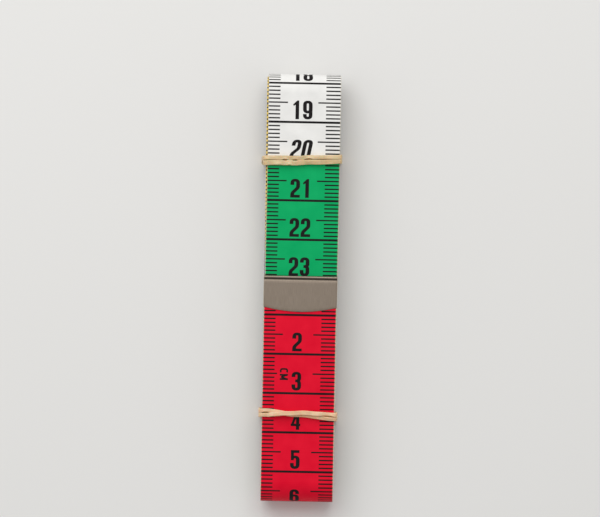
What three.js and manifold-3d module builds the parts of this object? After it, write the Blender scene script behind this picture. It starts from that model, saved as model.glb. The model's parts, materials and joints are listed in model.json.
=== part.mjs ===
// A cloth tape measure wound flat, with a folded metal clip on each end and two doubled rubber bands.
// Millimetres. X runs across the tape, Y along the bundle and Z through its layers. It lies on its back,
// with the undersides of the bands at Z = 0 and the middle of the bundle above the origin.

import * as THREE from 'three';
import { mergeVertices } from 'three/addons/utils/BufferGeometryUtils.js';
import Module from 'manifold-3d';

// The tape
const TAPE_LENGTH = 1500;
const TAPE_WIDTH = 18.5;
const TAPE_THICKNESS = 0.32;

// The bundle that it is wound into, and where its zero end lies on the front
const BUNDLE_LENGTH = 109.3;
const ZERO_END_PAST_MIDDLE = 3.1;

// The folded plate on each end, its lower edge an arc
const CLIP_DEPTH = 9.2;
const CLIP_ARC_RISE = 1.2;
const CLIP_WALL = 0.25;
const CLIP_SIDE_OVERHANG = 0.1;
const CLIP_CLEARANCE = 0.08;

// The rubber bands, each one loop that goes round the bundle twice. Its strands cross once, squeezed flat:
// on the front for the lower band, and on the left-hand wall of the bundle for the upper one.
const UPPER_BAND_FROM_TOP = 21.9;
const LOWER_BAND_FROM_BOTTOM = 22.2;
const STRAND_WIDTH = 1.1;
const STRAND_THICKNESS = 0.9;
const STRAND_GAP = 0.42;
const BAND_CLEARANCE = 0.3;
const LOWER_CROSSING_X = -3.3;
const CROSSING_LENGTH = 5;
const CROSSING_THICKNESS = 0.5;

// The line that the free end bends about, above the lower band
const BEND_LINE_FROM_BAND = 2;
const BEND_LINE_GAP = 0.3;

// Facets
const BEND_STEPS = 20;
const FOLD_STEPS = 8;
const ARC_STEPS = 16;
const CORNER_STEPS = 5;
const CROSSING_STEPS = 32;

const MATERIALS = {
  tapeWhite: new THREE.MeshStandardMaterial({ color: 0xf0eee9, roughness: 0.5, metalness: 0 }),
  tapeRed: new THREE.MeshStandardMaterial({ color: 0xdd1a36, roughness: 0.5, metalness: 0 }),
  nickel: new THREE.MeshStandardMaterial({ color: 0x87796d, roughness: 0.35, metalness: 1 }),
  rubber: new THREE.MeshStandardMaterial({ color: 0xd7b98a, roughness: 0.6, metalness: 0 }),
};

const wasm = await Module();
wasm.setup();

// The air between two turns takes one wall of a clip.
const layerGap = CLIP_WALL + 2 * CLIP_CLEARANCE;
const pitch = TAPE_THICKNESS + layerGap;
const clipSeat = CLIP_WALL + CLIP_CLEARANCE;

// The bands lie on the ground, and the outermost back run lies on the bands.
const backFace = STRAND_THICKNESS + BAND_CLEARANCE;
const backZ = backFace + TAPE_THICKNESS / 2;
const upperBandY = BUNDLE_LENGTH / 2 - UPPER_BAND_FROM_TOP;
const lowerBandY = LOWER_BAND_FROM_BOTTOM - BUNDLE_LENGTH / 2;
const bandHalfWidth = STRAND_WIDTH + STRAND_GAP / 2;
const bendLineY = lowerBandY + bandHalfWidth + BEND_LINE_FROM_BAND;

// A flat spiral of straight runs joined by half circles, counted from the outside in. Even runs lie on the
// front and end in a bend at the bottom of the bundle, odd runs lie on the back and end in one at the top.
function makeSpiral(layers) {
  const depth = layers * pitch;
  const halfLength = (BUNDLE_LENGTH - TAPE_THICKNESS) / 2;
  const middleZ = backZ + depth / 2;
  const bottom = new THREE.Vector2(depth / 2 - halfLength, middleZ);
  const top = new THREE.Vector2(halfLength - (depth - pitch) / 2, middleZ - pitch / 2);
  return { layers, depth, bottom, top, frontZ: backZ + depth };
}

function bendRadius(spiral, run) {
  return (spiral.depth - run * pitch) / 2;
}

function bendCentre(spiral, run) {
  return run % 2 === 0 ? spiral.bottom : spiral.top;
}

// The run that the inner end lies on, and how far it goes past the start of that run.
function findInnerEnd(spiral) {
  const runLength = spiral.top.x - spiral.bottom.x;
  let left = TAPE_LENGTH - (ZERO_END_PAST_MIDDLE - spiral.bottom.x);
  for (let run = 0; run < spiral.layers; run += 1) {
    left -= Math.PI * bendRadius(spiral, run);
    if (left < runLength) return { run: run + 1, reach: left };
    left -= runLength;
  }
  return null;
}

// The fewest layers that hold the whole tape with its inner clip on a straight run.
function windTape() {
  for (let layers = 2; ; layers += 1) {
    const spiral = makeSpiral(layers);
    const end = findInnerEnd(spiral);
    if (end && end.reach > CLIP_DEPTH) return { ...spiral, ...end };
  }
}

const wound = windTape();

// Where the inner end lies, and the way that the tape runs there: down the front or up the back.
const innerOnFront = wound.run % 2 === 0;
const innerRunWay = innerOnFront ? -1 : 1;
const innerRunStartY = innerOnFront ? wound.top.x : wound.bottom.x;
const innerEndY = innerRunStartY + innerRunWay * wound.reach;
const innerEndZ = innerOnFront
  ? wound.frontZ - (wound.run / 2) * pitch
  : backZ + ((wound.run - 1) / 2) * pitch;

// One side of the ribbon as points in the YZ plane, moved out from the middle of its thickness.
function ribbonSide(outward) {
  const points = [new THREE.Vector2(bendLineY - BEND_LINE_GAP / 2, wound.frontZ + outward)];
  for (let run = 0; run < wound.run; run += 1) {
    const centre = bendCentre(wound, run);
    const radius = bendRadius(wound, run) + outward;
    const firstAngle = run % 2 === 0 ? Math.PI / 2 : -Math.PI / 2;
    for (let step = 0; step <= BEND_STEPS; step += 1) {
      const angle = firstAngle + (Math.PI * step) / BEND_STEPS;
      const out = new THREE.Vector2(Math.cos(angle), Math.sin(angle));
      points.push(centre.clone().addScaledVector(out, radius));
    }
  }
  const endY = innerEndY - innerRunWay * clipSeat;
  points.push(new THREE.Vector2(endY, innerEndZ + (innerOnFront ? outward : -outward)));
  return points;
}

function distanceToSegment(point, from, to) {
  const along = to.clone().sub(from);
  const share = point.clone().sub(from).dot(along) / along.lengthSq();
  return point.distanceTo(from.clone().addScaledVector(along, THREE.MathUtils.clamp(share, 0, 1)));
}

// The least distance from a path's points to those of its segments that lie further along it than the skip.
function leastDistance(path, skip) {
  const places = [0];
  for (let i = 1; i < path.length; i += 1) {
    places.push(places[i - 1] + path[i].distanceTo(path[i - 1]));
  }
  let least = Infinity;
  for (let i = 0; i < path.length; i += 1) {
    for (let j = 1; j < path.length; j += 1) {
      const apart = Math.max(places[j - 1] - places[i], places[i] - places[j]);
      if (apart > skip) least = Math.min(least, distanceToSegment(path[i], path[j - 1], path[j]));
    }
  }
  return least;
}

// Turns a shape drawn in Y and Z, extruded along X, to stand across the tape.
function extrudeAcross(shape, width, curveSegments) {
  const geometry = new THREE.ExtrudeGeometry(shape, { depth: width, bevelEnabled: false, curveSegments });
  geometry.translate(0, 0, -width / 2);
  const turn = new THREE.Matrix4().makeBasis(
    new THREE.Vector3(0, 1, 0),
    new THREE.Vector3(0, 0, 1),
    new THREE.Vector3(1, 0, 0),
  );
  return geometry.applyMatrix4(turn);
}

function toSolid(geometry) {
  geometry.deleteAttribute('normal');
  geometry.deleteAttribute('uv');
  const merged = mergeVertices(geometry);
  return new wasm.Manifold(new wasm.Mesh({
    numProp: 3,
    vertProperties: new Float32Array(merged.attributes.position.array),
    triVerts: new Uint32Array(merged.index.array),
  }));
}

function toGeometry(solid) {
  const mesh = solid.getMesh();
  const geometry = new THREE.BufferGeometry();
  geometry.setAttribute('position', new THREE.BufferAttribute(new Float32Array(mesh.vertProperties), 3));
  geometry.setIndex(new THREE.BufferAttribute(new Uint32Array(mesh.triVerts), 1));
  geometry.computeVertexNormals();
  return geometry;
}

function makeMesh(name, geometry, material) {
  const mesh = new THREE.Mesh(geometry, material);
  mesh.name = name;
  return mesh;
}

// The whole tape apart from its free end, as one unbroken ribbon.
function makeWinding() {
  const outline = [...ribbonSide(TAPE_THICKNESS / 2), ...ribbonSide(-TAPE_THICKNESS / 2).reverse()];
  const gap = leastDistance(ribbonSide(0), 2 * pitch) - TAPE_THICKNESS;
  console.log(`tape: ${wound.run / 2} turns, least gap between its turns ${gap.toFixed(3)} mm`);
  return makeMesh('tape_winding', extrudeAcross(new THREE.Shape(outline), TAPE_WIDTH), MATERIALS.tapeWhite);
}

// The stretch that lifts, from the bend line to the fold of the clip at zero.
function makeFreeEnd() {
  const fromY = bendLineY + BEND_LINE_GAP / 2;
  const toY = ZERO_END_PAST_MIDDLE - clipSeat;
  const geometry = new THREE.BoxGeometry(TAPE_WIDTH, toY - fromY, TAPE_THICKNESS);
  const mesh = makeMesh('tape_free_end', geometry, MATERIALS.tapeRed);
  mesh.position.set(0, (fromY + toY) / 2, wound.frontZ);
  return mesh;
}

// A plate folded over the end of the tape. Its fold is at Y = 0, and its walls reach along -Y to an arc.
function makeClip(name) {
  const width = TAPE_WIDTH + 2 * CLIP_SIDE_OVERHANG;
  const slotRadius = TAPE_THICKNESS / 2 + CLIP_CLEARANCE;
  const foldRadius = slotRadius + CLIP_WALL;
  const profile = new THREE.Shape();
  profile.moveTo(-CLIP_DEPTH, -foldRadius);
  profile.lineTo(-foldRadius, -foldRadius);
  profile.absarc(-foldRadius, 0, foldRadius, -Math.PI / 2, Math.PI / 2, false);
  profile.lineTo(-CLIP_DEPTH, foldRadius);
  profile.lineTo(-CLIP_DEPTH, slotRadius);
  profile.lineTo(-clipSeat, slotRadius);
  profile.lineTo(-clipSeat, -slotRadius);
  profile.lineTo(-CLIP_DEPTH, -slotRadius);
  const folded = toSolid(extrudeAcross(profile, width, FOLD_STEPS));

  const arcRadius = ((width / 2) ** 2 + CLIP_ARC_RISE ** 2) / (2 * CLIP_ARC_RISE);
  const halfAngle = Math.asin(width / 2 / arcRadius);
  const down = -Math.PI / 2;
  const plan = new THREE.Shape();
  plan.moveTo(-width / 2, foldRadius);
  plan.absarc(0, arcRadius - CLIP_DEPTH, arcRadius, down - halfAngle, down + halfAngle, false);
  plan.lineTo(width / 2, foldRadius);
  const trim = new THREE.ExtrudeGeometry(plan, {
    depth: 4 * foldRadius,
    bevelEnabled: false,
    curveSegments: ARC_STEPS,
  });
  trim.translate(0, 0, -2 * foldRadius);
  return makeMesh(name, toGeometry(folded.intersect(toSolid(trim))), MATERIALS.nickel);
}

function makeOuterClip() {
  const mesh = makeClip('end_clip_outer');
  mesh.position.set(0, ZERO_END_PAST_MIDDLE, wound.frontZ);
  return mesh;
}

function makeInnerClip() {
  const mesh = makeClip('end_clip_inner');
  mesh.position.set(0, innerEndY, innerEndZ);
  if (innerOnFront) mesh.rotation.z = Math.PI;
  return mesh;
}

// The free end lies on the lower half of the front only, so the upper band goes round one layer less.
const frontFace = wound.frontZ + TAPE_THICKNESS / 2;
const upperFrontFace = frontFace - pitch;

// A crossing and the ramps on either side of it take up the height of the wall.
const crossingRamp = (upperFrontFace - backFace - CROSSING_LENGTH) / 2;

// A place that a band passes has the spot on the bundle that it lies over, the way out from that spot and,
// near the crossing, how far along the band the crossing still is. A strand turns about each corner.
function cornerPlaces(x, z, firstAngle) {
  const places = [];
  for (let step = 0; step <= CORNER_STEPS; step += 1) {
    const angle = firstAngle + (Math.PI / 2) * (step / CORNER_STEPS);
    const out = new THREE.Vector3(Math.cos(angle), 0, Math.sin(angle));
    places.push({ spot: new THREE.Vector3(x, 0, z), out, ahead: Infinity });
  }
  return places;
}

function crossingPlaces(middle, way, out) {
  const places = [];
  const reach = CROSSING_LENGTH / 2 + crossingRamp;
  for (let step = 1; step < CROSSING_STEPS; step += 1) {
    const ahead = reach - (2 * reach * step) / CROSSING_STEPS;
    places.push({ spot: middle.clone().addScaledVector(way, -ahead), out, ahead });
  }
  return places;
}

// Once round the bundle: up its right-hand wall, over the front, down the left-hand wall and back below.
function upperBandPlaces() {
  const half = TAPE_WIDTH / 2;
  const wallMiddle = new THREE.Vector3(-half, 0, (backFace + upperFrontFace) / 2);
  return [
    ...cornerPlaces(half, backFace, -Math.PI / 2),
    ...cornerPlaces(half, upperFrontFace, 0),
    ...cornerPlaces(-half, upperFrontFace, Math.PI / 2),
    ...crossingPlaces(wallMiddle, new THREE.Vector3(0, 0, -1), new THREE.Vector3(-1, 0, 0)),
    ...cornerPlaces(-half, backFace, Math.PI),
  ];
}

function lowerBandPlaces() {
  const half = TAPE_WIDTH / 2;
  const crossing = new THREE.Vector3(LOWER_CROSSING_X, 0, frontFace);
  return [
    ...cornerPlaces(half, backFace, -Math.PI / 2),
    ...cornerPlaces(half, frontFace, 0),
    ...crossingPlaces(crossing, new THREE.Vector3(-1, 0, 0), new THREE.Vector3(0, 0, 1)),
    ...cornerPlaces(-half, frontFace, Math.PI / 2),
    ...cornerPlaces(-half, backFace, Math.PI),
  ];
}

// The middle line of a doubled band. The first time round, the strand changes sides over the second one.
function doubledPath(places, bandY) {
  const sideways = (STRAND_WIDTH + STRAND_GAP) / 2;
  const crossing = places.findIndex((place) => place.ahead <= 0);
  const path = [];
  for (const first of [true, false]) {
    places.forEach(({ spot, out, ahead }, index) => {
      const side = first === index < crossing ? 1 : -1;
      const away = Math.abs(ahead);
      const across = THREE.MathUtils.smoothstep(away, 0, CROSSING_LENGTH / 2);
      const squeeze = 1 - THREE.MathUtils.smoothstep(away - CROSSING_LENGTH / 2, 0, crossingRamp);
      const thickness = THREE.MathUtils.lerp(STRAND_THICKNESS, CROSSING_THICKNESS, squeeze);
      const lift = first ? squeeze * (thickness + STRAND_GAP) : 0;
      const point = spot.clone().addScaledVector(out, BAND_CLEARANCE + thickness / 2 + lift);
      point.y = bandY + side * across * sideways;
      path.push({ point, out, thickness });
    });
  }
  return path;
}

// The least gap between the two times that a doubled path goes round, beside each other or one over the
// other.
function leastStrandGap(path) {
  const once = path.length / 2;
  const gaps = path.slice(0, once).map(({ point, thickness }, index) => {
    const other = path[index + once].point;
    const beside = Math.abs(point.y - other.y) - STRAND_WIDTH;
    const over = Math.hypot(point.x - other.x, point.z - other.z) - thickness;
    return Math.max(beside, over);
  });
  return Math.min(...gaps);
}

// A closed sweep of a rectangle along a path, its width along Y and its thickness along each outward way.
function sweepStrand(path) {
  const corners = [[-1, -1], [1, -1], [1, 1], [-1, 1]];
  const positions = [];
  for (const { point, out, thickness } of path) {
    for (const [side, level] of corners) {
      const corner = point.clone().addScaledVector(out, (level * thickness) / 2);
      positions.push(corner.x, corner.y + (side * STRAND_WIDTH) / 2, corner.z);
    }
  }
  const indices = [];
  path.forEach((_, ring) => {
    const nextRing = (ring + 1) % path.length;
    corners.forEach((__, side) => {
      const nextSide = (side + 1) % corners.length;
      const a = ring * corners.length + side;
      const b = ring * corners.length + nextSide;
      const c = nextRing * corners.length + nextSide;
      const d = nextRing * corners.length + side;
      indices.push(a, c, b, a, d, c);
    });
  });
  const geometry = new THREE.BufferGeometry();
  geometry.setAttribute('position', new THREE.Float32BufferAttribute(positions, 3));
  geometry.setIndex(indices);
  geometry.computeVertexNormals();
  return geometry;
}

function makeBand(name, places, bandY) {
  const path = doubledPath(places, bandY);
  console.log(`${name}: least gap between its strands ${leastStrandGap(path).toFixed(3)} mm`);
  return makeMesh(name, sweepStrand(path), MATERIALS.rubber);
}

const tapeMeasure = new THREE.Group();
tapeMeasure.name = 'tape_measure';
tapeMeasure.add(makeWinding());
tapeMeasure.add(makeFreeEnd());
tapeMeasure.add(makeOuterClip());
tapeMeasure.add(makeInnerClip());
tapeMeasure.add(makeBand('rubber_band_upper', upperBandPlaces(), upperBandY));
tapeMeasure.add(makeBand('rubber_band_lower', lowerBandPlaces(), lowerBandY));

export default tapeMeasure;
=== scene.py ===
# The looks of a cloth tape measure that is wound flat: its printed tape, folded end clips and rubber
# bands. Sizes are in millimetres and become metres where a mesh, lamp or camera is made. X runs across
# the tape, Y along the bundle and Z out of its front.
import json
import math

import bpy
import numpy as np
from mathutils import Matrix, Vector
from mathutils.geometry import delaunay_2d_cdt


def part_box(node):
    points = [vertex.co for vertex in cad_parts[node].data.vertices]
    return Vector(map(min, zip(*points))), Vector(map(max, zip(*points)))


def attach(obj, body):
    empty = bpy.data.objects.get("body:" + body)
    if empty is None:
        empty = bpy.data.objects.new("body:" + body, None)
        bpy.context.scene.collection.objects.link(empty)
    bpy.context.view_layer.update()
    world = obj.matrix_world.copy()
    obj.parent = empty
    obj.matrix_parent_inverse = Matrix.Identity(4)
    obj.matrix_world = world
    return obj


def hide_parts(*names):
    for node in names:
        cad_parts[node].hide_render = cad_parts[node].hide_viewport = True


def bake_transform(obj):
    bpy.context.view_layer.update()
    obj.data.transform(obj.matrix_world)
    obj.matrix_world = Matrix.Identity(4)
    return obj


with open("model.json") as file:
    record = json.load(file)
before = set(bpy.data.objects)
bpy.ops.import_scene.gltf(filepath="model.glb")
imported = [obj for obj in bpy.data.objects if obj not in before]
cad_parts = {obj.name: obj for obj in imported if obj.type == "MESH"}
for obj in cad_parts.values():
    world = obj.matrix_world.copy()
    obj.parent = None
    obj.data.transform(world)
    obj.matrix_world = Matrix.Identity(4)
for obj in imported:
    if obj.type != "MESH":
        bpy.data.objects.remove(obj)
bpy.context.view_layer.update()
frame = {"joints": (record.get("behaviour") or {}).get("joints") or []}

MM = 0.001  # metres

# The tape and how it is wound
TAPE_LENGTH = 1500.0
TAPE_THICKNESS = 0.32
LAYERS = 14
END_SEAT = 0.33  # each end stops this far inside the fold of its clip
SEAM = 35.5  # where the free end's mesh meets the winding's, under the lower band
EDGE_ROUND = 0.06
LONGEST_BEND_STEP = 0.5
LEAST_BEND_STEPS = 20
# How far the tape lies off the middle of the bundle, by the distance from its zero end
OFF_MIDDLE = (
    (0, 0.0), (10, 0.0), (60, 0.05), (160, 0.0), (200, 0.16), (230, 0.1), (280, 0.06), (330, -0.12),
    (400, -0.28), (425, -0.24), (455, 0.06), (510, 0.08), (580, 0.0), (660, 0.2), (750, -0.1),
    (850, -0.26), (960, 0.1), (1060, -0.15), (1180, 0.2), (1300, -0.2), (1400, 0.1), (1485, 0.0),
    (1500, 0.0),
)
RIPPLES = ((0.03, 23.0, 1.0), (0.02, 37.7, 0.3))  # height, length and phase of each

# The print
CENTIMETRE = 10
DECADE = 100.0  # the tape changes its colour at each
TICKS = (3.05, 3.75)  # from the left-hand and the right-hand edge
HALF_TICKS = (5.0, 5.75)
SHORT_HALF_TICK = 3.7  # beside the unit mark
TICK_THICKNESS = 0.36
LINE_THICKNESS = 0.57
NUMBER_HEIGHT = 4.8
NUMBER_FROM_LINE = 0.72
NUMBER_MIDDLE_X = -0.6
DIGIT_WIDTH = 2.44
DIGIT_GAP = 0.42
STEM = 0.96  # width of the pen that draws the digits
CROSSBAR = 0.72  # its height
ROUND_END = 0.8  # how high a digit's round ends are
ROUND_POWER = 2.6  # 2 would make them ellipses
WAIST = 0.515  # share of the height of the pen's path at which a 3 or an 8 is drawn in
BOWL = 2.55  # height of the bowl of a 6, between the middles of its strokes
TENS_SLANT = 0.2
HUNDREDS_WIDTH = 0.78  # share of the usual width of a digit
UNIT_MARK_AT = 25.0  # the half tick beside it
UNIT_MARK_START = 23.83
UNIT_MARK_X = -3.8
UNIT_MARK_HEIGHT = 2.1
UNIT_MARK_PEN = 0.44
UNIT_MARK_STEMS = (1.5, 2.05, 2.6)  # where its second letter starts, dips and ends
UNIT_MARK_BEND = 0.5  # radius of the ends of its first letter
UNIT_MARK_DIP = 0.12  # how far above its foot the second letter dips
CELL_START = 0.5  # a centimetre's triangles start this far past its line, clear of ink
DEGREES_PER_STEP = 15.0  # along the curves of the print

# The tape's mesh
BEND_HALF_LENGTH = 2.0  # of the free end, to each side of its hinge
HINGE_STEPS = 18
BAKE_STRIP = 120.0  # the tape is laid out for baking in strips of this length
BAKE_GAP = 0.5
PLACES = 3  # decimals that tell two points of the print apart
NEAREST = 1e-6  # points of the print that lie closer than this are one
WHOLE_HULL = 0  # Blender's number for triangles all the way to the hull

# The folded clips
CLIP_FACE = 0.45  # from the middle of the tape's thickness
CLIP_INSIDE = 0.17
CLIP_BEAD = 0.48
CLIP_GROOVE = 0.27
CLIP_BEAD_LENGTH = 0.42  # from the fold to the crown of the bead
CLIP_GROOVE_AT = 0.84
CLIP_PLATE_AT = 1.22
CLIP_ARC_RISE = 1.2
CLIP_EDGE_ROUND = 0.08
CLIP_SHARP = math.radians(50)  # an edge that turns further is shaded as sharp
CLIP_FOLD_STEPS = 6
CLIP_COLUMNS = 28
PLATE_ROWS = 10

# The rubber bands
STRAND_WIDTH = 1.15
STRAND_THICKNESS = 1.16
BAND_GAP = 0.04  # to the front and the back of the bundle
BAND_WALL_GAP = 0.3  # to its walls, whose layers lie unevenly
BAND_CORNER = 0.25
BAND_WAVERS = ((0.07, 9.3), (0.03, 5.1))  # height and length of each
CROSSING_THICKNESS = 0.84
CROSSING_THICKNESS_AT_WALL = 0.52
# The gap between the strands, their twist and the power of the rounded oblong that they are cut to,
# where the seam between them is closed and where it is open
CLOSED_GAP, OPEN_GAP = 0.01, 0.08
CLOSED_TWIST, OPEN_TWIST = math.radians(2), math.radians(24)
CLOSED_POWER, OPEN_POWER = 8.0, 6.0
TWIST_WAVER = math.radians(10)
SECTION_STEPS = 28
CORNER_STEPS = 10
COURSE_STEP = 0.3
UPPER_CROSSING_REACH = 4.4
# The side that the lower band's first turn lies on along X
LOWER_CROSSING = (
    (-9.6, -1.0), (-8.8, -1.0), (-7.6, -0.93), (-5.6, -0.5), (-3.3, 0.0), (0.0, 0.36), (4.0, 0.68),
    (7.0, 0.93), (8.4, 1.0), (9.6, 1.0),
)
# The shape of each band. line: how far it rises to the right, bows towards the top and lies above the
# middle of its solid. widths: along X, of the strands on the upper and on the lower side. walls: how
# thick the strands are on the left-hand and on the right-hand wall. twist: the length of its waver, and
# where that starts in the first and the second turn. seam: where along X it is open, and how far to
# each side.
UPPER_BAND = {
    "line": (0.32, 0.03, 0.0),
    "widths": (
        ((-9.6, 1.15), (-3.0, 1.06), (3.0, 1.02), (9.6, 1.12)),
        ((-9.6, 1.3), (-3.0, 1.38), (3.0, 1.36), (9.6, 1.12)),
    ),
    "walls": (0.7, 0.3),
    "twist": (2.6, 2.1, 0.0),
    "seam": ((-4.6, 1.2), (-2.1, 1.3), (1.35, 1.5)),
}
LOWER_BAND = {
    "line": (-0.36, 0.2, 0.12),
    "widths": (
        ((-9.6, 1.02), (-3.0, 1.2), (3.0, 1.12), (9.6, 1.04)),
        ((-9.6, 1.06), (-3.0, 1.22), (3.0, 1.15), (9.6, 1.04)),
    ),
    "walls": (0.5, 0.45),
    "twist": (5.0, -1.1, -1.5),
    "seam": ((-8.2, 1.6), (7.6, 2.6)),
}

# Colours, as red, green and blue from 0 to 255 on screen
TAPE_COLOURS = {
    "tape_red": (226, 8, 44),
    "tape_white": (233, 232, 229),
    "tape_green": (0, 168, 97),
    "tape_blue": (38, 106, 184),
    "tape_yellow": (246, 208, 80),
}
INK = (26, 23, 24)
EDGE_CREAM = (233, 224, 200)
EDGE_SHADE = (206, 196, 172)
EDGE_WORN = (244, 240, 228)
NICKEL = (129, 117, 105)
NICKEL_BRIGHT = (148, 136, 123)
NICKEL_DULL = (131, 118, 105)
# painted shade for the dark groove under the clip's fold
GROOVE_SHADE = (38, 33, 29)
UPPER_RUBBER = (203, 176, 131)
UPPER_RUBBER_PALE = (230, 209, 168)
# The lower band's rubber is painted paler than the upper band's, as painted light that lifts the shade at
# its crossing, and pinker, as a painted reflection of the red tape
LOWER_RUBBER_LIT = (220, 180, 140)
LOWER_RUBBER_LIT_PALE = (242, 214, 178)
FLOOR = (226, 225, 222)
FLOOR_PALE = (230, 229, 227)

# The surfaces
INK_SLOT = len(TAPE_COLOURS)  # in the tape's list of materials
EDGE_SLOT = INK_SLOT + 1
CLOTH_ROUGHNESS = 0.46
INK_ROUGHNESS = 0.52
WEAVE_PITCH = 0.46
RUBBED_EDGE = 0.3  # how wide the paler edge of the print is
GROOVE_SHADE_REACH = (0.12, 0.34)  # painted shade, from the middle of the clip's groove: where it is thick and where it ends
NOISE_SPREAD = (0.3, 0.7)  # most of a noise lies between these
WAVE_SCALE = 2 * math.pi / 20  # of Blender's wave, for stripes of one unit

# Floor and light
FLOOR_SIZE = 4000.0
FLOOR_Z = -0.02
SKY_LEVEL = 0.52
KEY_LEVEL = 0.62  # what the lamp adds to a white face that looks up, as the sky's level does
KEY_SIZE = 760.0
KEY_DISTANCE = 700.0
KEY_HEIGHT = 52.0
KEY_HEADING = -14.0  # from the top of the bundle towards its right

# The photograph's view
FRAME_WIDTH_PX = 600
FRAME_HEIGHT_PX = 517
PX_PER_MM = 3.92
BUNDLE_MIDDLE_PX = (300.5, 288.0)
BUNDLE_TURN = math.radians(1.15)
LENS = 500.0
SENSOR = 36.0


def box_mm(node):
    """The lowest and highest corner of a solid at rest."""
    return [np.array(corner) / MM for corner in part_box(node)]


wound_low, wound_high = box_mm("tape_winding")
zero_y = box_mm("end_clip_outer")[1][1]
hinge = np.array(next(j for j in frame["joints"] if j["name"] == "free_end_lift")["pos_m"]) / MM

half_width = (wound_high[0] - wound_low[0]) / 2
flat_edge = half_width - EDGE_ROUND
half_thickness = TAPE_THICKNESS / 2
back_z = wound_low[2] + half_thickness
front_z = wound_high[2] - half_thickness
depth = front_z - back_z
pitch = depth / LAYERS
bottom_bend = np.array([wound_low[1] + half_thickness + depth / 2, (front_z + back_z) / 2])
top_bend = np.array([wound_high[1] - half_thickness - (depth - pitch) / 2, bottom_bend[1] - pitch / 2])


# Camera
def add_camera():
    """Looks straight down at the front, turned and placed so that the bundle lies as in the photo."""
    across = (BUNDLE_MIDDLE_PX[0] - FRAME_WIDTH_PX / 2) / PX_PER_MM
    up = (FRAME_HEIGHT_PX / 2 - BUNDLE_MIDDLE_PX[1]) / PX_PER_MM
    cos, sin = math.cos(BUNDLE_TURN), math.sin(BUNDLE_TURN)
    distance = FRAME_WIDTH_PX / PX_PER_MM * LENS / SENSOR
    data = bpy.data.cameras.new("camera")
    data.lens = LENS
    data.sensor_width = SENSOR
    camera = bpy.data.objects.new("camera", data)
    place = Vector((up * sin - across * cos, -across * sin - up * cos, wound_high[2] + distance))
    camera.location = place * MM
    camera.rotation_euler = (0, 0, BUNDLE_TURN)
    bpy.context.collection.objects.link(camera)
    bpy.context.scene.camera = camera


# Shared helpers
def smooth_through(knots, at):
    """A smooth curve through (place, value) knots, read at some places."""
    x, y = np.array(knots, float).T
    slope = np.gradient(y, x)
    i = np.clip(np.searchsorted(x, at) - 1, 0, len(x) - 2)
    step = x[i + 1] - x[i]
    t = np.clip((at - x[i]) / step, 0, 1)
    start = (1 + 2 * t) * (1 - t) ** 2 * y[i] + t * (1 - t) ** 2 * step * slope[i]
    end = t**2 * (3 - 2 * t) * y[i + 1] + t**2 * (t - 1) * step * slope[i + 1]
    return start + end


def add_piece(name, points, faces, materials, material_index=None):
    """A smooth-shaded mesh object made of points in millimetres."""
    mesh = bpy.data.meshes.new(name)
    mesh.from_pydata((np.asarray(points) * MM).tolist(), [], faces)
    for material in materials:
        mesh.materials.append(material)
    if material_index is not None:
        mesh.polygons.foreach_set("material_index", material_index)
    mesh.polygons.foreach_set("use_smooth", [True] * len(faces))
    mesh.update()
    piece = bpy.data.objects.new(name, mesh)
    bpy.context.collection.objects.link(piece)
    return piece


def add_map(piece, name, corners):
    """A UV map with one place for each corner of each face."""
    layer = piece.data.uv_layers.new(name=name)
    layer.uv.foreach_set("vector", np.asarray(corners, np.float32).ravel())


# Materials
class Shader:
    """A material's node tree with a Principled shader, and short ways to add nodes to it."""

    def __init__(self, name, **sockets):
        self.material = bpy.data.materials.new(name)
        self.material.use_nodes = True
        self.tree = self.material.node_tree
        self.principled = self.tree.nodes["Principled BSDF"]
        for socket, value in sockets.items():
            self.principled.inputs[socket.replace("_", " ")].default_value = value

    def add(self, kind, inputs=None, **settings):
        """A node with settings and inputs, where an input is a value or another node's output."""
        node = self.tree.nodes.new("ShaderNode" + kind)
        for setting, value in settings.items():
            setattr(node, setting, value)
        for socket, value in (inputs or {}).items():
            if isinstance(value, bpy.types.NodeSocket):
                self.tree.links.new(value, node.inputs[socket])
            else:
                node.inputs[socket].default_value = value
        return node

    def math(self, operation, *values):
        """The output of a maths node."""
        return self.add("Math", dict(enumerate(values)), operation=operation).outputs[0]

    def ramp(self, value, low, high, to_low=0.0, to_high=1.0):
        """A value taken from one range to another, and kept within it."""
        spread = {"Value": value, "From Min": low, "From Max": high, "To Min": to_low, "To Max": to_high}
        return self.add("MapRange", spread).outputs[0]

    def mix(self, share, first, second):
        """The output of a colour mix node."""
        node = self.add("Mix", data_type="RGBA")
        for socket, value in (("Factor", share), ("A", first), ("B", second)):
            found = [s for s in node.inputs if s.name == socket and s.enabled][0]
            if isinstance(value, bpy.types.NodeSocket):
                self.tree.links.new(value, found)
            else:
                found.default_value = value
        return [s for s in node.outputs if s.enabled][0]

    def flat(self):
        """Places on the piece's own map, in millimetres."""
        return self.add("UVMap", uv_map="Flat").outputs[0]

    def noise(self, places, scale, stretch=(1, 1, 1), detail=3.0):
        """Noise over a piece's own map, stretched along its axes."""
        moved = self.add("Mapping", {"Vector": places, "Scale": stretch}).outputs[0]
        return self.add("TexNoise", {"Vector": moved, "Scale": scale, "Detail": detail}).outputs[0]

    def wave(self, places, direction, pitch):
        """Stripes of one pitch across a piece's own map."""
        stripes = {"Vector": places, "Scale": WAVE_SCALE / pitch, "Distortion": 0.0}
        return self.add("TexWave", stripes, bands_direction=direction).outputs["Fac"]

    def bump(self, height, distance):
        """Raises the surface by a height from 0 to 1, times a distance in millimetres."""
        raised = {"Height": height, "Distance": distance * MM}
        self.set("Normal", self.add("Bump", raised).outputs[0])

    def set(self, socket, output):
        """Links a node's output to the Principled shader."""
        self.tree.links.new(output, self.principled.inputs[socket])


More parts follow.
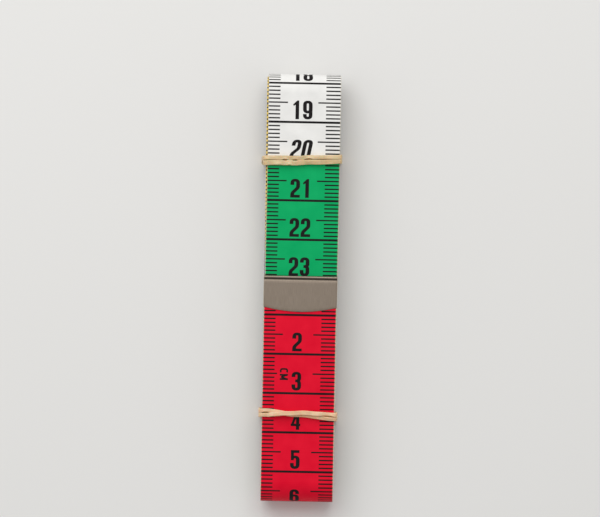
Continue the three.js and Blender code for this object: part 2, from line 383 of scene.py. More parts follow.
def linear(colour):
    """A colour as it is on screen, as the light it gives off, by the sRGB curve."""
    shares = [channel / 255 for channel in colour]
    return tuple(c / 12.92 if c <= 0.04045 else ((c + 0.055) / 1.055) ** 2.4 for c in shares) + (1.0,)


def shaded(light, times, plus=0.0):
    """The light of a colour made darker or paler."""
    return tuple(min(1.0, times * c + plus) for c in light[:3]) + (1.0,)


def coated_cloth(name, colour, roughness=CLOTH_ROUGHNESS):
    """Woven cloth under a satin coat of one colour, a little uneven, rubbed pale along its edges."""
    shader = Shader(name, Specular_IOR_Level=0.07)
    light = linear(colour)
    places = shader.flat()
    cloud = shader.noise(places, scale=0.22, detail=4.0)
    grain = shader.noise(places, scale=5.0, detail=2.0)
    tone = shader.mix(shader.ramp(cloud, *NOISE_SPREAD), shaded(light, 0.93), shaded(light, 1.03, 0.004))
    across = shader.math("ABSOLUTE", shader.add("SeparateXYZ", {0: places}).outputs[0])
    near_edge = shader.ramp(across, half_width - RUBBED_EDGE, half_width)
    rubbed = shader.math("MULTIPLY", near_edge, shader.ramp(grain, 0.42, 0.66, to_high=0.5))
    shader.set("Base Color", shader.mix(rubbed, tone, linear(EDGE_CREAM)))
    threads = [shader.wave(places, way, WEAVE_PITCH) for way in "XY"]
    weave = shader.math("MULTIPLY", *threads)
    shader.bump(shader.math("ADD", weave, shader.math("MULTIPLY", grain, 0.6)), distance=0.012)
    shader.set("Roughness", shader.ramp(cloud, *NOISE_SPREAD, roughness - 0.05, roughness + 0.06))
    return shader.material


def cut_edge():
    """The cut edge of the cloth, where the ends of its threads show."""
    shader = Shader("tape_cut_edge", Roughness=0.75, Specular_IOR_Level=0.25)
    places = shader.flat()
    threads = shader.wave(places, "Y", WEAVE_PITCH)
    worn = shader.noise(places, scale=0.6)
    tone = shader.mix(threads, linear(EDGE_SHADE), linear(EDGE_CREAM))
    tone = shader.mix(shader.ramp(worn, 0.45, 0.75, to_high=0.5), tone, linear(EDGE_WORN))
    shader.set("Base Color", tone)
    shader.bump(threads, distance=0.03)
    return shader.material


def brushed_nickel():
    """Nickel plate brushed along the tape, a little cloudy, with painted shade in the groove under its
    fold.
    """
    shader = Shader("brushed_nickel", Metallic=1.0)
    places = shader.flat()
    streaks = shader.noise(places, scale=3.2, stretch=(4.0, 0.12, 1.0), detail=5.0)
    cloud = shader.noise(places, scale=0.3)
    tone = shader.mix(shader.ramp(streaks, *NOISE_SPREAD), linear(NICKEL), linear(NICKEL_BRIGHT))
    tone = shader.mix(shader.ramp(cloud, 0.35, 0.7, to_high=0.35), tone, linear(NICKEL_DULL))
    along = shader.add("SeparateXYZ", {0: places}).outputs[1]
    from_groove = shader.math("ABSOLUTE", shader.math("ADD", along, CLIP_GROOVE_AT))
    # Painted shade: the colour is darkened in the groove under the fold
    groove_shade = shader.ramp(from_groove, *GROOVE_SHADE_REACH, to_low=0.9, to_high=0.0)
    shader.set("Base Color", shader.mix(groove_shade, tone, linear(GROOVE_SHADE)))
    shader.set("Roughness", shader.ramp(streaks, *NOISE_SPREAD, to_low=0.38, to_high=0.5))
    shader.bump(streaks, distance=0.006)
    return shader.material


def natural_rubber(name, colour, pale):
    """Tan rubber cut from a tube, cloudy, paler in streaks, with some light passing through it."""
    shader = Shader(name, Specular_IOR_Level=0.4, Subsurface_Weight=0.3, Subsurface_Scale=0.5 * MM)
    light = linear(colour)
    places = shader.flat()
    streaks = shader.noise(places, scale=0.9, stretch=(1.4, 0.22, 1.0), detail=2.0)
    cloud = shader.noise(places, scale=0.45, detail=2.0)
    specks = shader.noise(places, scale=7.0, detail=2.0)
    tone = shader.mix(shader.ramp(streaks, 0.36, 0.7), light, linear(pale))
    dusky = shaded(light, 0.8)
    shader.set("Base Color", shader.mix(shader.ramp(cloud, 0.5, 0.8, to_high=0.6), tone, dusky))
    shader.set("Roughness", shader.ramp(cloud, *NOISE_SPREAD, to_low=0.36, to_high=0.52))
    shader.bump(shader.math("ADD", streaks, shader.math("MULTIPLY", specks, 0.25)), distance=0.04)
    return shader.material


# The winding
def stretches():
    """The straight runs and half-round bends of the winding in turn: kind, run, start and length."""
    start = 0.0
    for run in range(LAYERS + 1):
        length = (top_bend[0] if run else zero_y) - bottom_bend[0]
        yield "run", run, start, length
        start += length
        length = math.pi * (depth - run * pitch) / 2
        yield "bend", run, start, length
        start += length


def lie(distance):
    """Where the middle of the tape lies at some distances from zero, as (y, z), and the way out."""
    spot = np.zeros((len(distance), 2))
    out = np.zeros((len(distance), 2))
    for kind, run, start, length in stretches():
        here = (distance >= start) & (distance <= start + length)
        past = distance[here] - start
        on_front = run % 2 == 0
        facing = 1 if on_front else -1
        if kind == "run":
            level = front_z - run / 2 * pitch if on_front else back_z + (run - 1) / 2 * pitch
            first = (top_bend[0] if run else zero_y) if on_front else bottom_bend[0]
            spot[here] = np.stack([first - facing * past, np.full(len(past), level)], 1)
            out[here] = (0, facing)
        elif length > 0:
            angle = facing * math.pi / 2 + math.pi * past / length
            out[here] = np.stack([np.cos(angle), np.sin(angle)], 1)
            spot[here] = (bottom_bend if on_front else top_bend) + length / math.pi * out[here]
    return spot, out


def wound(x, distance, lift):
    """Points of the wound tape, off the middle of its thickness by a lift, and the way out at each."""
    spot, out = lie(distance)
    ripple = sum(h * np.sin(2 * math.pi * distance / length + phase) for h, length, phase in RIPPLES)
    moved = spot + out * (lift + ripple)[:, None]
    off = smooth_through(OFF_MIDDLE, distance)
    return np.column_stack([x + off, moved]), np.column_stack([np.zeros(len(out)), out])


# The print
def arc(middle_x, middle_y, radius_x, radius_y, first, last):
    """Points along part of a squarish oval, between two angles in degrees."""
    steps = math.ceil(abs(last - first) / DEGREES_PER_STEP)
    angles = np.radians(np.linspace(first, last, steps + 1))
    ways = np.column_stack([np.cos(angles), np.sin(angles)])
    reach = np.sign(ways) * np.abs(ways) ** (2 / ROUND_POWER)
    return list(np.array([middle_x, middle_y]) + np.array([radius_x, radius_y]) * reach)


def pen_outline(points, closed, half_x, half_y):
    """The outline of a stroke drawn with an oval pen, and that of its hole if it is closed."""
    line = np.array(points, float)
    if closed:
        way = np.roll(line, -1, 0) - np.roll(line, 1, 0)
    else:
        way = np.gradient(line, axis=0)
    across = np.column_stack([-way[:, 1], way[:, 0]])
    reach = np.array([half_x**2, half_y**2]) * across
    reach /= np.linalg.norm(np.array([half_x, half_y]) * across, axis=1)[:, None]
    first, second = line + reach, line - reach
    if not closed:
        return np.concatenate([first, second[::-1]]), None
    return (second, first) if np.ptp(second[:, 0]) > np.ptp(first[:, 0]) else (first, second)


def digit_outlines():
    """The outlines of each digit's strokes and of their holes, from the lower left of the pen's path."""
    right, top = DIGIT_WIDTH - STEM, NUMBER_HEIGHT - CROSSBAR
    half, side, end = right / 2, STEM / 2, CROSSBAR / 2
    waist = WAIST * top
    bar_end = half - 0.3

    def stroke(points, closed=False, weight=1.0):
        return pen_outline(points, closed, weight * side, weight * end)

    def over(high, first=180, last=0):
        return arc(half, high - ROUND_END, half, ROUND_END, first, last)

    def under(low, first=0, last=-180):
        return arc(half, low + ROUND_END, half, ROUND_END, first, last)

    def loop(low, high):
        return stroke(over(high, 0, 180) + under(low, 180, 360), closed=True)

    def turned(outline):
        return None if outline is None else np.array([right, top]) - outline

    six = [loop(0, BOWL), stroke([(0.02, BOWL / 2), *over(top), (right, top - 1.02)], weight=0.98)]
    shoulder = arc(half, 2.8, half, 0.95, 0, -48)
    heel = arc(0.86, 0.1, 0.86, 1.15, 125, 180)
    peak = top + end
    one = [(0.47, -end), (0.47, peak - 1.12), (0.01, peak - 1.42), (-0.17, peak - 1.02), (0.89, peak)]
    one += [(1.39, peak), (1.39, -end)]
    return {
        "0": [loop(0, top)],
        "1": [(np.array(one), None)],
        "2": [
            stroke([(0, top - 1.2), *over(top), *shoulder, *heel]),
            stroke([(-side, 0), (right + side, 0)]),
        ],
        "3": [
            stroke([(0, top - 1.0), *over(top), *under(waist, 0, -90), (bar_end, waist)]),
            stroke([(bar_end, waist), *over(waist, 90, 0), *under(0), (0, 1.2)]),
        ],
        "4": [
            stroke([(1.27, -end), (1.27, top + end)], weight=0.88),
            stroke([(-side, 0.87), (right + side, 0.87)], weight=0.85),
            stroke([(1.15, top + 0.15), (-0.13, 0.82)], weight=0.66),
        ],
        "5": [
            stroke([(-0.32, top), (right + 0.4, top)]),
            stroke([(0.1, top), (0.1, 1.85)], weight=0.8),
            stroke([*over(2.7, 150, 0), *under(0), (0, 1.15)]),
        ],
        "6": six,
        "7": [
            stroke([(-side, top), (right + side, top)]),
            stroke([(right, top), (1.0, 2.5), (0.66, 1.1), (0.55, -end)]),
        ],
        "8": [loop(0, waist), loop(waist, top)],
        "9": [(turned(outer), turned(hole)) for outer, hole in six],
    }


DIGITS = digit_outlines()


def number_shapes(number):
    """The ink of a number that stands before its centimetre line, as loops of (x, distance)."""
    digits = str(number)
    width = HUNDREDS_WIDTH if len(digits) > 2 else 1.0
    slant = TENS_SLANT if number % 10 == 0 else 0.0
    advance = (DIGIT_WIDTH + DIGIT_GAP) * width
    start = NUMBER_MIDDLE_X - (advance * len(digits) - DIGIT_GAP * width) / 2
    base = CENTIMETRE * number - NUMBER_FROM_LINE - CROSSBAR / 2

    def place(loop, index):
        if loop is None:
            return None
        lean = slant * (loop[:, 1] - NUMBER_HEIGHT / 2)
        x = start + index * advance + (loop[:, 0] + STEM / 2) * width + lean
        return np.column_stack([x, base - loop[:, 1]])

    for index, digit in enumerate(digits):
        for outer, hole in DIGITS[digit]:
            yield place(outer, index), place(hole, index)


def unit_mark_shapes():
    """The letters of the unit, read from the side, as loops of (x, distance)."""
    pen = UNIT_MARK_PEN / 2
    height = UNIT_MARK_HEIGHT - 2 * pen
    bend = UNIT_MARK_BEND
    first, middle, last = UNIT_MARK_STEMS
    strokes = [
        arc(bend, height - bend, bend, bend, 50, 180) + arc(bend, bend, bend, bend, 180, 310),
        [(first, -pen), (first, height + pen)],
        [(first, height), (middle, UNIT_MARK_DIP)],
        [(middle, UNIT_MARK_DIP), (last, height)],
        [(last, -pen), (last, height + pen)],
    ]
    for stroke in strokes:
        along, up = pen_outline(stroke, False, pen, pen)[0].T
        yield np.column_stack([UNIT_MARK_X + up - height / 2, UNIT_MARK_START + along]), None


def bar(left, right, at, thickness):
    """A printed line across the tape, as a loop of (x, distance)."""
    low, high = at - thickness / 2, at + thickness / 2
    return np.array([(left, low), (right, low), (right, high), (left, high)]), None


def mark_thickness(millimetre):
    """How thick the line or tick at a millimetre is."""
    return LINE_THICKNESS if millimetre % CENTIMETRE == 0 else TICK_THICKNESS


def centimetre_shapes(cell):
    """The ink of one centimetre: its ticks, the line that ends it and the number before that line."""
    start = CENTIMETRE * cell
    end = start + CENTIMETRE
    for millimetre in range(start + 1, min(end + 1, int(TAPE_LENGTH))):
        thickness = mark_thickness(millimetre)
        if millimetre == end:
            yield bar(-flat_edge, flat_edge, millimetre, thickness)
            continue
        left, right = HALF_TICKS if millimetre == start + CENTIMETRE / 2 else TICKS
        if millimetre == UNIT_MARK_AT:
            left = SHORT_HALF_TICK
        yield bar(-flat_edge, left - half_width, millimetre, thickness)
        yield bar(half_width - right, flat_edge, millimetre, thickness)
    if end < TAPE_LENGTH:
        yield from number_shapes(cell + 1)
    if start < UNIT_MARK_AT < end:
        yield from unit_mark_shapes()


def bend_rows():
    """Distances from zero of the rows that the tape is cut along, so that it follows its bends."""
    at_hinge = zero_y - hinge[1]
    first, last = at_hinge - BEND_HALF_LENGTH, at_hinge + BEND_HALF_LENGTH
    rows = [SEAM, *np.linspace(first, last, HINGE_STEPS + 1)]
    for kind, _, start, length in stretches():
        if kind == "bend" and length > 0 and start < TAPE_LENGTH:
            steps = max(LEAST_BEND_STEPS, math.ceil(length / LONGEST_BEND_STEP))
            rows.extend(np.linspace(start, start + length, steps + 1))
    return np.round(rows, PLACES)


def edge_places(rows):
    """Distances from zero of the points along the tape's edges, the same on both faces."""
    places = [END_SEAT, TAPE_LENGTH - END_SEAT, *rows]
    for millimetre in range(1, int(TAPE_LENGTH)):
        reach = mark_thickness(millimetre) / 2
        places.extend([millimetre - reach, millimetre + reach])
        if millimetre % CENTIMETRE == 0:
            places.extend([millimetre - CELL_START, millimetre + CELL_START])
    return np.unique(np.round(places, PLACES))


def turns_left(loop):
    """Whether a loop runs against the clock."""
    x, y = loop.T
    return x @ np.roll(y, -1) > y @ np.roll(x, -1)


def cut_cell(first, last, rows, places, shapes):
    """A stretch of the tape's face, cut along rows and ink: its points, triangles and which are ink."""
    points = [(side * flat_edge, at) for at in (first, last, *places) for side in (-1, 1)]
    edges = []
    for at in rows:
        edges.append((len(points), len(points) + 1))
        points.extend([(-flat_edge, at), (flat_edge, at)])
    faces, inks = [], []
    for outer, hole in shapes:
        ids = []
        for loop in (outer, hole):
            if loop is not None:
                ids.append(len(faces))
                faces.append(list(range(len(points), len(points) + len(loop))))
                points.extend(loop[::-1] if turns_left(loop) else loop)
        inks.append(ids)
    flat = [Vector((x, first - at)) for x, at in points]
    found, _, triangles, _, _, within = delaunay_2d_cdt(flat, edges, faces, WHOLE_HULL, NEAREST)
    ink = [any(ids[0] in w and (len(ids) < 2 or ids[1] not in w) for ids in inks) for w in within]
    return np.array([(p.x, first - p.y) for p in found]), np.array(triangles), np.array(ink)


def printed_face(rows, places):
    """One face of the whole tape: points as (x, distance from its zero), triangles and which are ink."""
    points, triangles, ink = [], [], []
    count = 0
    for cell in range(int(TAPE_LENGTH / CENTIMETRE)):
        first = CENTIMETRE * cell + CELL_START if cell else END_SEAT
        last = min(CENTIMETRE * (cell + 1) + CELL_START, TAPE_LENGTH - END_SEAT)
        inside = [values[(values > first) & (values < last)] for values in (rows, places)]
        found, cut, inked = cut_cell(first, last, *inside, centimetre_shapes(cell))
        points.append(found)
        triangles.append(cut + count)
        ink.append(inked)
        count += len(found)
    points = np.concatenate(points)
    rounded = np.round(points, PLACES)
    _, kept, renamed = np.unique(rounded, axis=0, return_index=True, return_inverse=True)
    triangles = renamed.ravel()[np.concatenate(triangles)]
    points = points[kept]
    a, b, c = (points[triangles[:, i]] for i in range(3))
    turn = (b - a)[:, 0] * (c - a)[:, 1] - (b - a)[:, 1] * (c - a)[:, 0]
    triangles[turn > 0] = triangles[turn > 0][:, ::-1]
    return points, triangles, np.concatenate(ink)


# The tape's pieces
class TapeMesh:
    """Gathers the points, faces, normals and maps of one stretch of the tape."""

    def __init__(self, first, last):
        self.first = first
        self.last = last
        self.points = np.zeros((0, 3))
        self.outs = np.zeros((0, 3))
        self.keys = {}
        self.faces, self.slots, self.normals, self.flats, self.bakes = [], [], [], [], []
        strips = math.ceil(TAPE_LENGTH / BAKE_STRIP)
        self.strip_height = 2 * half_width + TAPE_THICKNESS + 3 * BAKE_GAP
        self.bake_side = strips * self.strip_height + 4 * (TAPE_THICKNESS + BAKE_GAP)

    def add_points(self, layer, x, distance, lift):
        """Adds points of one layer, and returns the number of the first."""
        first = len(self.points)
        points, outs = wound(x, distance, np.full(len(x), lift))
        self.points = np.concatenate([self.points, points])
        self.outs = np.concatenate([self.outs, outs])
        for i, place in enumerate(zip(x, distance)):
            self.keys[(layer, *np.round(place, PLACES))] = first + i
        return first

    def find(self, layer, x, distance):
        """The number of a point that was added."""
        return self.keys[(layer, *np.round((x, distance), PLACES))]

    def add_faces(self, corners, slots, normals, flat, bake):
        """Adds faces that have the same number of corners, with what each corner has."""
        self.faces.extend(corners.tolist())
        self.slots.extend(slots)
        self.normals.append(normals.reshape(-1, 3))
        self.flats.append(flat.reshape(-1, 2))
        self.bakes.append(bake.reshape(-1, 2) / self.bake_side)

    def bake_places(self, column, along, up):
        """Where the corners of faces lie in one of the two columns of strips for baking."""
        strip = np.floor((along.mean(1, keepdims=True) - CELL_START) / BAKE_STRIP)
        right = column * (BAKE_STRIP + CELL_START + 2 * BAKE_GAP) + BAKE_GAP + along - strip * BAKE_STRIP
        return np.stack([right, strip * self.strip_height + BAKE_GAP + up], -1)

    def add_print(self, layer, printed):
        """Adds this stretch of a printed face: layer 0 is the outward face and layer 1 the reverse."""
        points, triangles, ink = printed
        distance = points[:, 1] if layer == 0 else TAPE_LENGTH - points[:, 1]
        middle = distance[triangles].mean(1)
        here = (middle > self.first) & (middle < self.last)
        used, corners = np.unique(triangles[here], return_inverse=True)
        corners = corners.reshape(-1, 3)
        x, along = points[used].T
        facing = 1 if layer == 0 else -1
        first = self.add_points(layer, x, distance[used], facing * half_thickness)
        normals = facing * self.outs[first:][corners]
        decade = along[corners].mean(1) // DECADE
        slots = np.where(ink[here], INK_SLOT, decade % len(TAPE_COLOURS)).astype(int)
        flat = np.stack([x[corners], along[corners]], -1)
        bake = self.bake_places(layer, along[corners], x[corners] + half_width)
        self.add_faces(first + corners, slots, normals, flat, bake)

    def add_wall(self, places, side):
        """Adds the cut edge on the left-hand (-1) or the right-hand side (1), slightly rounded."""
        at = places[(places >= self.first) & (places <= self.last)]
        wall = "left" if side < 0 else "right"
        first = self.add_points(wall, np.full(len(at), side * half_width), at, 0.0)
        middle = np.arange(first, first + len(at))
        front, back = (np.array([self.find(layer, side * flat_edge, s) for s in at]) for layer in (0, 1))
        along = np.stack([at[1:], at[:-1], at[:-1], at[1:]], 1)
        for upper, lower, level in ((front, middle, 1), (middle, back, 0)):
            corners = np.stack([lower[1:], lower[:-1], upper[:-1], upper[1:]], 1)
            levels = np.array([level - 1, level - 1, level, level])
            normals = self.outs[corners] * levels[:, None] + np.array([side, 0, 0])
            normals /= np.linalg.norm(normals, axis=2, keepdims=True)
            up = np.broadcast_to((levels + 1) * half_thickness, along.shape)
            flat = np.stack([up, along], -1)
            bake = self.bake_places(0 if side < 0 else 1, along, 2 * half_width + BAKE_GAP + up)
            order = slice(None, None, side)
            slots = [EDGE_SLOT] * len(corners)
            self.add_faces(corners[:, order], slots, normals[:, order], flat[:, order], bake[:, order])

    def across(self, face, at):
        """The numbers of a face's points at one distance from zero, from left to right."""
        row = [(x, k) for (layer, x, distance), k in self.keys.items() if (layer, distance) == (face, at)]
        return [k for _, k in sorted(row)]

    def add_end(self, at, way):
        """Closes the stretch at its start (1) or its end (-1)."""
        right, left = self.find("right", half_width, at), self.find("left", -half_width, at)
        corners = [*self.across(0, at), right, *reversed(self.across(1, at)), left]
        corners = np.array([corners[::way]])
        out = self.outs[corners[0, 0]]
        normals = np.broadcast_to(way * np.array([0, -out[2], out[1]]), (1, corners.size, 3))
        x = self.points[corners, 0]
        up = (self.points[corners] - self.points[corners].mean(1)) @ out
        foot = self.bake_side - (2 - way) * (TAPE_THICKNESS + BAKE_GAP)
        bake = np.stack([x + half_width + 2 * BAKE_GAP, foot + up], -1)
        self.add_faces(corners, [EDGE_SLOT], normals, np.stack([x, up], -1), bake)

    def finish(self, name, materials):
        """The stretch as a piece."""
        piece = add_piece(name, self.points, self.faces, materials, self.slots)
        add_map(piece, "Flat", np.concatenate(self.flats))
        add_map(piece, "OFBake", np.concatenate(self.bakes))
        piece.data.normals_split_custom_set(np.concatenate(self.normals).tolist())
        return piece


def tape_piece(name, first, last, printed, places, materials):
    """One stretch of the tape, printed on both faces."""
    mesh = TapeMesh(first, last)
    mesh.add_print(0, printed[0])
    mesh.add_print(1, printed[1])
    mesh.add_wall(places, -1)
    mesh.add_wall(places, 1)
    mesh.add_end(first, 1)
    mesh.add_end(last, -1)
    return mesh.finish(name, materials)


def make_tape():
    """The winding, and the free end, which meets it under the lower band."""
    materials = [
        *(coated_cloth(name, colour) for name, colour in TAPE_COLOURS.items()),
        coated_cloth("tape_ink", INK, INK_ROUGHNESS),
        cut_edge(),
    ]
    rows = bend_rows()
    places = edge_places(rows)
    printed = printed_face(rows, places), printed_face(TAPE_LENGTH - rows, TAPE_LENGTH - places)
    last = TAPE_LENGTH - END_SEAT
    winding = tape_piece("wound_tape", SEAM, last, printed, places, materials)
    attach(winding, "winding")
    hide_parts("tape_winding")
    free_end = tape_piece("free_tape_end", END_SEAT, SEAM, printed, places, materials)
    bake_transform(free_end)
    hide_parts("tape_free_end")


# The clips
def eased(start, end, steps):
    """Points from one (back, height) to another that leave and arrive level."""
    shares = np.arange(1, steps + 1) / steps
    back, height = end[0] - start[0], end[1] - start[1]
    return [(start[0] + s * back, start[1] + s * s * (3 - 2 * s) * height) for s in shares]


def clip_halves():
    """The outer and the inner side of the clip's upper half, from its fold to its edge, as points of
    (back, share, height). A point lies back from the fold, and past that by a share of what the plate's
    length varies by."""
    turn = np.radians(np.linspace(0, 90, CLIP_FOLD_STEPS + 1))
    outer = [(CLIP_BEAD_LENGTH * (1 - math.cos(a)), CLIP_BEAD * math.sin(a)) for a in turn]
    outer += eased(outer[-1], (CLIP_GROOVE_AT, CLIP_GROOVE), CLIP_FOLD_STEPS)
    outer += eased(outer[-1], (CLIP_PLATE_AT, CLIP_FACE), CLIP_FOLD_STEPS)
    inner = [(CLIP_BEAD_LENGTH - CLIP_INSIDE * math.cos(a), CLIP_INSIDE * math.sin(a)) for a in turn]
    inner += [(back, CLIP_INSIDE) for back, _ in outer[len(inner):]]
    shares = np.arange(1, PLATE_ROWS + 1) / PLATE_ROWS
    sides = []
    for points, face, rounding in ((outer, CLIP_FACE, CLIP_EDGE_ROUND), (inner, CLIP_INSIDE, 0.0)):
        side = [(back, 0.0, height) for back, height in points]
        side += [(CLIP_PLATE_AT - CLIP_EDGE_ROUND * s, s, face) for s in shares]
        for a in turn[1:]:
            back = CLIP_PLATE_AT - CLIP_EDGE_ROUND * (1 - math.sin(a))
            side.append((back, 1.0, face - rounding * (1 - math.cos(a))))
        sides.append(side)
    return sides


def clip_columns(half):
    """Places across the clip, close together where its sides are rounded."""
    turn = np.radians(np.linspace(0, 90, CLIP_FOLD_STEPS + 1))
    rounded = half - CLIP_EDGE_ROUND * (1 - np.sin(turn))
    inside = np.linspace(0, half - CLIP_EDGE_ROUND, CLIP_COLUMNS)[:-1]
    right = np.concatenate([inside, rounded])
    return np.concatenate([-right[:0:-1], right])


def make_clip(name, node, body, fold_ahead, material):
    """A plate folded over an end of the tape, with a bead and a groove along its fold and an arc for its
    edge. Its fold is at the Y end of the node's box (1) or at the other end (-1)."""
    low, high = box_mm(node)
    half = (high[0] - low[0]) / 2
    length = high[1] - low[1]
    fold = high[1] if fold_ahead > 0 else low[1]
    arc_radius = (half**2 + CLIP_ARC_RISE**2) / (2 * CLIP_ARC_RISE)
    sides = [[(b, s, -h) for b, s, h in reversed(side[1:])] + side for side in clip_halves()]
    count = len(sides[0])
    points, flats = [], []
    for x in clip_columns(half):
        into_round = max(0.0, CLIP_EDGE_ROUND - half + abs(x))
        sunk = CLIP_EDGE_ROUND - math.sqrt(max(0.0, CLIP_EDGE_ROUND**2 - into_round**2))
        extra = length - arc_radius + math.sqrt(arc_radius**2 - x**2) - CLIP_PLATE_AT
        for side, inset in zip(sides, (sunk, 0.0)):
            for back, share, height in side:
                y = back + share * extra
                z = math.copysign(max(abs(height) - inset, 0.0), height)
                points.append((x, fold - fold_ahead * y, (low[2] + high[2]) / 2 + z))
                flats.append((x, -y))
    grid = np.arange(len(points)).reshape(-1, 2, count)
    outer, inner = grid[:, 0], grid[:, 1]
    sheets = [
        (outer[:-1, :-1], outer[1:, :-1], outer[1:, 1:], outer[:-1, 1:]),
        (inner[:-1, :-1], inner[:-1, 1:], inner[1:, 1:], inner[1:, :-1]),
        (outer[:-1, 0], inner[:-1, 0], inner[1:, 0], outer[1:, 0]),
        (outer[:-1, -1], outer[1:, -1], inner[1:, -1], inner[:-1, -1]),
        (outer[0, :-1], outer[0, 1:], inner[0, 1:], inner[0, :-1]),
        (outer[-1, :-1], inner[-1, :-1], inner[-1, 1:], outer[-1, 1:]),
    ]
    faces = np.concatenate([np.stack([c.ravel() for c in sheet], 1) for sheet in sheets])
    faces = faces[:, ::-fold_ahead]
    piece = add_piece(name, points, faces.tolist(), [material])
    piece.data.set_sharp_from_angle(angle=CLIP_SHARP)
    add_map(piece, "Flat", np.array(flats)[faces])
    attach(piece, body)
    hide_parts(node)


# The rubber bands
class Course:
    """Places on the bundle's skin round one turn of a band, from the right-hand end of its front. Legs 0
    to 3 are the front, the left-hand wall, the underside and the right-hand wall, and a corner is half a
    leg more."""

    LEFT_WALL = 1
    UNDERSIDE = 2

    def __init__(self, front):
        half, top, bottom = half_width + BAND_WALL_GAP, front + BAND_GAP, wound_low[2] - BAND_GAP
        in_x, in_top, in_bottom = half - BAND_CORNER, top - BAND_CORNER, bottom + BAND_CORNER
        legs = (
            ((in_x, top), (-in_x, top), (-in_x, in_top)),
            ((-half, in_top), (-half, in_bottom), (-in_x, in_bottom)),
            ((-in_x, bottom), (in_x, bottom), (in_x, in_bottom)),
            ((half, in_bottom), (half, in_top), (in_x, in_top)),
        )
        places = []
        for leg, (start, end, corner) in enumerate(legs):
            steps = math.ceil(math.dist(start, end) / COURSE_STEP)
            for share in np.arange(steps + 1) / steps:
                spot = (1 - share) * np.array(start) + share * np.array(end)
                places.append((*spot, 90 * (leg + 1), leg))
            for turn in 90 * np.arange(1, CORNER_STEPS) / CORNER_STEPS:
                angle = 90 * (leg + 1) + turn
                way = np.array([math.cos(math.radians(angle)), math.sin(math.radians(angle))])
                places.append((*(np.array(corner) + BAND_CORNER * way), angle, leg + 0.5))
        self.x, self.z, angle, self.leg = np.array(places).T
        self.out_x = np.cos(np.radians(angle))
        self.out_z = np.sin(np.radians(angle))
        self.on_front = np.clip(self.out_z, 0, 1)
        self.on_wall = self.out_x**2


def twisted_section(angles, powers):
    """The outline of a strand at each angle that it is twisted to, from -1 to 1 across it and up it."""
    turn = np.linspace(0, 2 * math.pi, SECTION_STEPS, endpoint=False)
    outline = np.stack([np.cos(turn), np.sin(turn)])[:, None]
    x, y = np.sign(outline) * np.abs(outline) ** (2 / powers[:, None])
    cos, sin = np.cos(angles)[:, None], np.sin(angles)[:, None]
    across, up = x * cos - y * sin, x * sin + y * cos
    return across / np.abs(across).max(1, keepdims=True), up / np.abs(up).max(1, keepdims=True)


def strand_rings(course, side, middle_y, line, widths, walls, twist, seam):
    """Rings of points round a doubled band. side is where the first turn lies along the course, from 1
    on the upper side to -1 on the lower, and the second turn lies opposite and passes under the first.
    The rest is the shape of the band."""
    front_widths = [smooth_through(knots, course.x) for knots in widths]
    upper, lower = (STRAND_WIDTH + course.on_front * (width - STRAND_WIDTH) for width in front_widths)
    waver = sum(size * np.sin(2 * math.pi * course.x / length + size) for size, length in BAND_WAVERS)
    nearness = [np.maximum(1 - np.abs(course.x - at) / reach, 0) for at, reach in seam]
    opened = course.on_front * np.sin(sum(nearness) * math.pi / 2) ** 2
    gap = CLOSED_GAP + opened * (OPEN_GAP - CLOSED_GAP)
    power = CLOSED_POWER + opened * (OPEN_POWER - CLOSED_POWER)
    apart_twist = CLOSED_TWIST - opened * (OPEN_TWIST + CLOSED_TWIST)
    slope, bow, lift = line
    share = course.x / half_width
    rise = lift + slope * share + (bow * np.maximum(1 - share**2, 0) + waver) * course.on_front
    at_wall = np.where(course.out_x < 0, *walls)
    plain = STRAND_THICKNESS + course.on_wall * (at_wall - STRAND_THICKNESS)
    pressed = CROSSING_THICKNESS + course.on_wall * (CROSSING_THICKNESS_AT_WALL - CROSSING_THICKNESS)
    apart = np.abs(side) * (1 + 2 * gap / (upper + lower))
    over = np.sqrt(1 - np.minimum(apart, 1) ** 2)
    thickness = plain + over * (pressed - plain)
    rings = []
    length, *starts = twist
    for lies, on_top, start in zip((side, -side), (1, 0), starts):
        width = lower + (lies + 1) / 2 * (upper - lower) - gap / 2
        inner = on_top * over * (thickness + BAND_GAP)
        y = middle_y + rise + lies * (width + gap) / 2
        angle = lies * apart_twist + TWIST_WAVER * np.sin(course.x / length + start)
        across, up = twisted_section(course.on_front * angle, power)
        height = inner[:, None] + thickness[:, None] * (1 + up) / 2
        ring_y = y[:, None] + width[:, None] * across / 2
        ring_x = course.x[:, None] + course.out_x[:, None] * height
        ring_z = course.z[:, None] + course.out_z[:, None] * height
        rings.append(np.stack([ring_x, ring_y, ring_z], -1))
    underside = np.argmax(course.leg == course.UNDERSIDE)
    return np.roll(np.concatenate(rings), -underside, 0)


def make_band(name, node, body, course, side, shape, material):
    """A doubled band of rubber: one closed loop that goes round its course twice."""
    middle_y = sum(box_mm(node))[1] / 2
    rings = strand_rings(course, side, middle_y, **shape)
    ids = np.arange(rings[..., 0].size).reshape(rings.shape[:2])
    beside = np.roll(ids, -1, 1)
    faces = np.stack([ids, np.roll(ids, -1, 0), np.roll(beside, -1, 0), beside], -1).reshape(-1, 4)
    middles = rings.mean(1)
    along = np.cumsum([0, *np.linalg.norm(np.roll(middles, -1, 0) - middles, axis=1)])
    around = np.linspace(0, 2 * (STRAND_WIDTH + STRAND_THICKNESS), SECTION_STEPS + 1)
    places = np.stack(np.meshgrid(around, along), -1)
    flat = np.stack([places[:-1, :-1], places[1:, :-1], places[1:, 1:], places[:-1, 1:]], 2)
    piece = add_piece(name, rings.reshape(-1, 3), faces.tolist(), [material])
    add_map(piece, "Flat", flat)
    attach(piece, body)
    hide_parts(node)


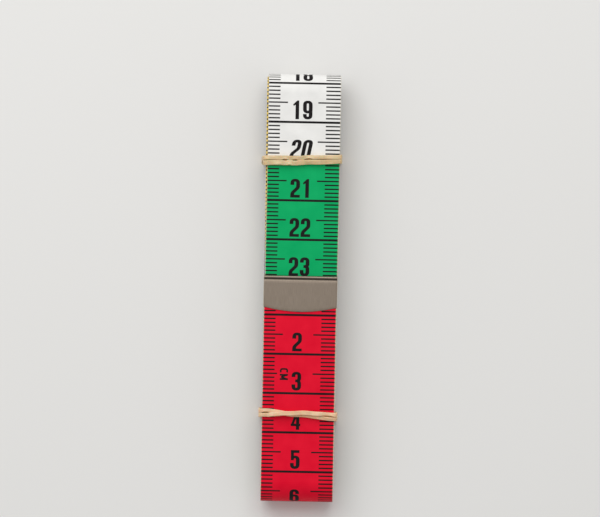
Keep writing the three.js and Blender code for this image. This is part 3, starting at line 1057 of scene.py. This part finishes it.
def make_bands():
    """The upper band's strands cross on the left-hand wall, and the lower band's on the front."""
    course = Course(wound_high[2] - pitch)
    wall = course.leg == course.LEFT_WALL
    up_wall = (course.z - course.z[wall].mean()) / UPPER_CROSSING_REACH
    side = np.where(course.leg < course.LEFT_WALL, 1.0, -1.0)
    side[wall] = np.sin(np.clip(up_wall[wall], -1, 1) * math.pi / 2)
    rubber = natural_rubber("upper_band_rubber", UPPER_RUBBER, UPPER_RUBBER_PALE)
    make_band("upper_rubber_band", "rubber_band_upper", "upper_band", course, side, UPPER_BAND, rubber)

    course = Course(wound_high[2])
    crossing = smooth_through(LOWER_CROSSING, course.x)
    side = np.where(course.leg < course.LEFT_WALL, crossing, -1.0)
    # painted light: a paler, pinker copy of the same rubber
    rubber = natural_rubber("lower_band_lit_rubber", LOWER_RUBBER_LIT, LOWER_RUBBER_LIT_PALE)
    make_band("lower_rubber_band", "rubber_band_lower", "lower_band", course, side, LOWER_BAND, rubber)


# Floor and light
def add_stage():
    """A pale floor under the bundle, an even sky and a soft lamp from beyond the top of the bundle."""
    half = FLOOR_SIZE / 2
    corners = [(x, y, FLOOR_Z) for x, y in ((-half, -half), (half, -half), (half, half), (-half, half))]
    shader = Shader("floor", Roughness=0.7, Specular_IOR_Level=0.2)
    places = shader.add("TexCoord").outputs["Object"]
    cloud = shader.noise(places, scale=3.0)
    shader.set("Base Color", shader.mix(cloud, linear(FLOOR), linear(FLOOR_PALE)))
    floor = add_piece("floor", corners, [(0, 1, 2, 3)], [shader.material])

    world = bpy.data.worlds.new("sky")
    world.use_nodes = True
    sky = world.node_tree.nodes["Background"]
    sky.inputs["Color"].default_value = (1.0, 1.0, 1.0, 1.0)
    sky.inputs["Strength"].default_value = SKY_LEVEL
    bpy.context.scene.world = world

    data = bpy.data.lights.new("key", "AREA")
    data.size = KEY_SIZE * MM
    height, heading = math.radians(KEY_HEIGHT), math.radians(KEY_HEADING)
    data.energy = KEY_LEVEL * (math.pi * KEY_DISTANCE * MM) ** 2 / math.sin(height)
    key = bpy.data.objects.new("key", data)
    level = math.cos(height)
    way = Vector((level * math.sin(heading), level * math.cos(heading), math.sin(height)))
    key.location = way * KEY_DISTANCE * MM
    key.rotation_euler = way.to_track_quat("Z", "Y").to_euler()
    bpy.context.collection.objects.link(key)
    bpy.context.scene.view_settings.view_transform = "Standard"


add_camera()
make_tape()
nickel = brushed_nickel()
make_clip("outer_end_clip", "end_clip_outer", "free_end", 1, nickel)
make_clip("inner_end_clip", "end_clip_inner", "winding", -1, nickel)
make_bands()
add_stage()
